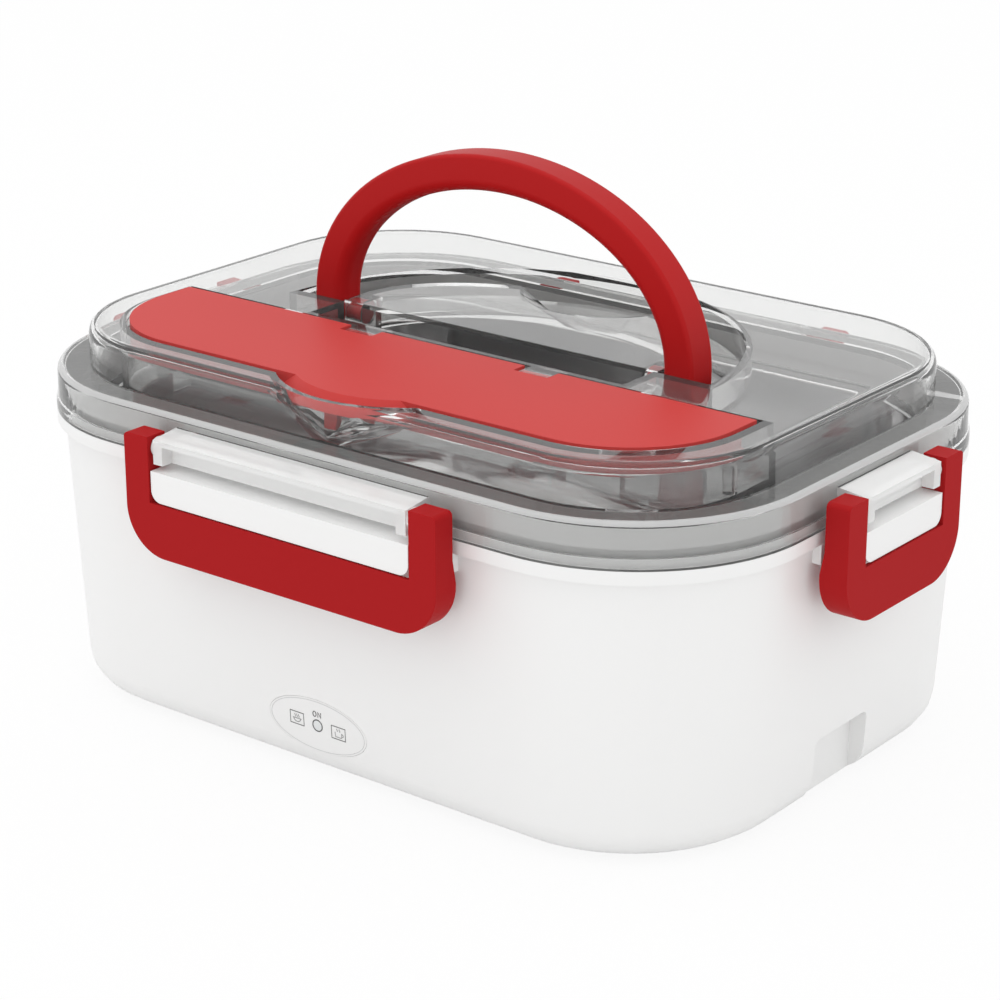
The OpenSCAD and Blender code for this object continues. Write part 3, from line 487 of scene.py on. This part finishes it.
def handlePath(settings):
    # inner point, step across the bar, and the bar's share of its depth, from one leg's end to the other
    thick, base, pivot = settings["thick"], settings["base"], settings["pivot"]
    innerX, innerZ = settings["outer"][0] - thick, settings["outer"][1] - thick
    leg = []
    for step in range(settings["legSteps"], -1, -1):
        lean = math.radians(step * settings["legTurn"])
        leg.append((innerX, pivot - settings["half"] * math.sin(lean), 1, 0, math.cos(lean)))
    arch = []
    for step in range(settings["steps"] + 1):
        turn = math.pi * step / settings["steps"]
        across, up = math.cos(turn), math.sin(turn)
        arch.append((innerX * across, base + innerZ * up, across, up, 1))
    return leg + arch + [(-x, z, -across, up, share) for x, z, across, up, share in leg[::-1]]


def addBoss(mesh, side, settings):
    # a boss that the handle turns on, as long as in the frame
    solid = frame["nodes"]["carry_handle"].data
    tip = min(abs(vert.co.x) for vert in solid.vertices if vert.co.z < settings["base"] * mm) / mm
    root = settings["outer"][0] - settings["thick"] + settings["bossRoot"]
    boss, edge, steps = settings["boss"], settings["bossEdge"], settings["bossSteps"]
    loops = []
    for x, radius in ((root, boss), (tip + edge, boss), (tip, boss - edge)):
        circle = arc(0, settings["pivot"], radius, 0, 360, steps)[:steps]
        loops.append([mesh.verts.new(Vector((side * x, y, z)) * mm) for y, z in circle])
    loft(mesh, loops)


def addHandle(settings):
    mesh = bmesh.new()
    section = handleSection(settings)
    rings = []
    for x, z, across, up, share in handlePath(settings):
        rings.append([mesh.verts.new(Vector((x + across * t, y * share, z + up * t)) * mm) for t, y in section])
    loft(mesh, rings)
    for side in (-1, 1):
        addBoss(mesh, side, settings)
    finishMesh(mesh, "carryHandle", "carry_handle", "handle_red")


addHandle(handle)
print("handle made")

redrawn = {*softNodes, "steel_pot", "carry_handle"}
for node, piece in frame["nodes"].items():
    if node not in redrawn:
        dress(piece, nodeSlots[node])

# ---- printing on the indicator panel: a frame line, a ring round the lamp, two pictograms and ON

panelPrint = {
    "centre": (0.0, -76.144, 15.0), "lean": 2.902, "low": -0.01, "high": 0.07,
    "frame": (15.4, 6.7, 0.16), "ring": (0.0, 0.1, 1.55, 0.28),
    "iconSize": (4.5, 3.4), "iconLine": 0.24, "meal": (-6.8, 0.4), "cup": (6.9, -0.1),
    "fine": 0.2, "finest": 0.15, "handleLine": 0.16, "wave": 0.14,
    "word": (0.0, 3.2), "letter": (1.05, 1.45, 0.22),
}


def panelPoint(x, up, out):
    lean = math.radians(panelPrint["lean"])
    centre = Vector(panelPrint["centre"])
    raised = Vector((0, -math.sin(lean), math.cos(lean)))
    outward = Vector((0, -math.cos(lean), -math.sin(lean)))
    return (centre + Vector((x, 0, 0)) + raised * up + outward * out) * mm


def inkLine(mesh, points, width, closed=False):
    # a raised line of ink that follows points on the panel
    count = len(points)
    low, high = panelPrint["low"], panelPrint["high"]
    rows = []
    for i in range(count):
        before = points[i - 1] if closed or i else points[i]
        after = points[(i + 1) % count] if closed or i < count - 1 else points[i]
        along = Vector((after[0] - before[0], after[1] - before[1])).normalized()
        side = Vector((-along.y, along.x)) * (width / 2)
        here = Vector(points[i])
        corners = ((here + side, low), (here + side, high), (here - side, high), (here - side, low))
        rows.append([mesh.verts.new(panelPoint(spot.x, spot.y, out)) for spot, out in corners])
    if closed:
        for i in range(count):
            bridge(mesh, rows[i], rows[(i + 1) % count])
    else:
        loft(mesh, rows)


def oval(x, up, a, b, steps, start=0.0, end=360.0):
    turns = [math.radians(start + (end - start) * i / steps) for i in range(steps + (end - start < 360))]
    return [(x + a * math.cos(t), up + b * math.sin(t)) for t in turns]


def box(x, up, w, h):
    return [(x - w / 2, up - h / 2), (x + w / 2, up - h / 2), (x + w / 2, up + h / 2), (x - w / 2, up + h / 2)]


def steam(x, up, h, steps=8):
    return [(x + panelPrint["wave"] * math.sin(t * math.tau / steps), up + h * t / steps) for t in range(steps + 1)]


def addPrint(name, ink, lines):
    mesh = bmesh.new()
    for points, width, closed in lines:
        inkLine(mesh, points, width, closed)
    bmesh.ops.recalc_face_normals(mesh, faces=mesh.faces)
    piece = addPiece(mesh, name)
    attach(piece, bodyOf["control_panel"])
    piece.data.materials.append(materials[ink])


def darkLines(settings):
    # the lamp's ring, the two pictograms' boxes and the letters O and N
    line, (w, h) = settings["iconLine"], settings["iconSize"]
    tx, ty = settings["word"]
    lw, lh, pen = settings["letter"]
    x, y, radius, ringPen = settings["ring"]
    left, right, foot, head = tx + lw * 0.3, tx + lw * 1.2, ty - lh / 2, ty + lh / 2
    return [
        (oval(x, y, radius, radius, 40), ringPen, True),
        (box(*settings["meal"], w, h), line, True), (box(*settings["cup"], w, h), line, True),
        (oval(tx - lw * 0.75, ty, lw / 2, lh / 2, 20), pen, True),
        ([(left, foot), (left, head), (right, foot), (right, head)], pen, False),
    ]


def softLines(settings):
    # a bowl and a cup with steam
    fine, finest, (mx, my), (cx, cy) = (settings[key] for key in ("fine", "finest", "meal", "cup"))
    bowl = [(oval(mx, my - 0.1, 1.15, 0.95, 14, 180, 360), fine, False),
            ([(mx - 1.4, my - 0.1), (mx + 1.4, my - 0.1)], fine, False)]
    cup = [([(cx - 1.1, cy + 0.2), (cx - 1.0, cy - 1.1), (cx + 1.0, cy - 1.1), (cx + 1.1, cy + 0.2)], fine, False),
           (oval(cx + 1.15, cy - 0.4, 0.45, 0.4, 8, -90, 90), settings["handleLine"], False)]
    bowl += [(steam(mx + dx, my + 0.2, 0.9), finest, False) for dx in (-0.6, 0.0, 0.6)]
    cup += [(steam(cx + dx, cy + 0.4, 0.8), finest, False) for dx in (-0.4, 0.4)]
    return bowl + cup


frameA, frameB, framePen = panelPrint["frame"]
addPrint("panelMarks", "ink_dark", darkLines(panelPrint))
addPrint("panelIcons", "ink_soft", softLines(panelPrint))
addPrint("panelOutline", "ink_pale", [(oval(0, 0, frameA, frameB, 96), framePen, True)])
print("panel printed")

# ---- studio: a white world, a pale floor that keeps the shadow, and one soft lamp above

studio = {
    "world": 0.97, "floor": 3.0, "paper": 0.9, "glow": 0.9,
    "power": 3.9, "lampSize": 1.2, "lampPlace": (-0.2, -0.3, 1.5), "aim": (0, 0, 0.05),
}
white = (1, 1, 1, 1)


def seenShare(tree):
    # 1 on camera, mirror and transmission rays, and 0 on the rest
    path = tree.add("ShaderNodeLightPath")
    seen = tree.add("ShaderNodeMath", operation="MAXIMUM")
    either = tree.add("ShaderNodeMath", operation="MAXIMUM")
    tree.join(path.outputs["Is Camera Ray"], seen.inputs[0])
    tree.join(path.outputs["Is Glossy Ray"], seen.inputs[1])
    tree.join(seen.outputs[0], either.inputs[0])
    tree.join(path.outputs["Is Transmission Ray"], either.inputs[1])
    return either.outputs[0]


def mixShaders(tree, share, unseen, seen, output):
    mix = tree.add("ShaderNodeMixShader")
    tree.join(share, mix.inputs["Fac"])
    tree.join(unseen.outputs[0], mix.inputs[1])
    tree.join(seen.outputs[0], mix.inputs[2])
    tree.join(mix.outputs[0], output.inputs["Surface"])


def addWorld(settings):
    world = bpy.data.worlds.new("studio")
    bpy.context.scene.world = world
    world.use_nodes = True
    world.node_tree.nodes.clear()
    tree = Tree(world.node_tree)
    dim = tree.add("ShaderNodeBackground", {"Color": white, "Strength": settings["world"]})
    bright = tree.add("ShaderNodeBackground", {"Color": white, "Strength": 1.0})
    mixShaders(tree, seenShare(tree), dim, bright, tree.add("ShaderNodeOutputWorld"))


def addFloor(settings):
    mesh = bmesh.new()
    half = settings["floor"] / 2
    mesh.faces.new([mesh.verts.new((x * half, y * half, 0)) for x, y in ((-1, -1), (1, -1), (1, 1), (-1, 1))])
    floor = addPiece(mesh, "floor")
    material, tree, output = newMaterial("floorPaper")
    paper = tree.add("ShaderNodeBsdfDiffuse", {"Color": (*[settings["paper"]] * 3, 1)})
    glow = tree.add("ShaderNodeEmission", {"Color": white, "Strength": 1.0})
    share = tree.add("ShaderNodeMath", {1: settings["glow"]}, operation="MULTIPLY")
    tree.join(seenShare(tree), share.inputs[0])
    mixShaders(tree, share.outputs[0], paper, glow, output)
    floor.data.materials.append(material)


def addLamp(settings):
    lamp = bpy.data.lights.new("topSoftbox", "AREA")
    lamp.shape = "SQUARE"
    lamp.size = settings["lampSize"]
    lamp.energy = settings["power"]
    softbox = bpy.data.objects.new("topSoftbox", lamp)
    softbox.location = settings["lampPlace"]
    toAim = Vector(settings["aim"]) - softbox.location
    softbox.rotation_euler = toAim.to_track_quat("-Z", "Y").to_euler()
    bpy.context.scene.collection.objects.link(softbox)


addWorld(studio)
addFloor(studio)
addLamp(studio)
bpy.context.scene.view_settings.view_transform = "Standard"
print("studio ready")
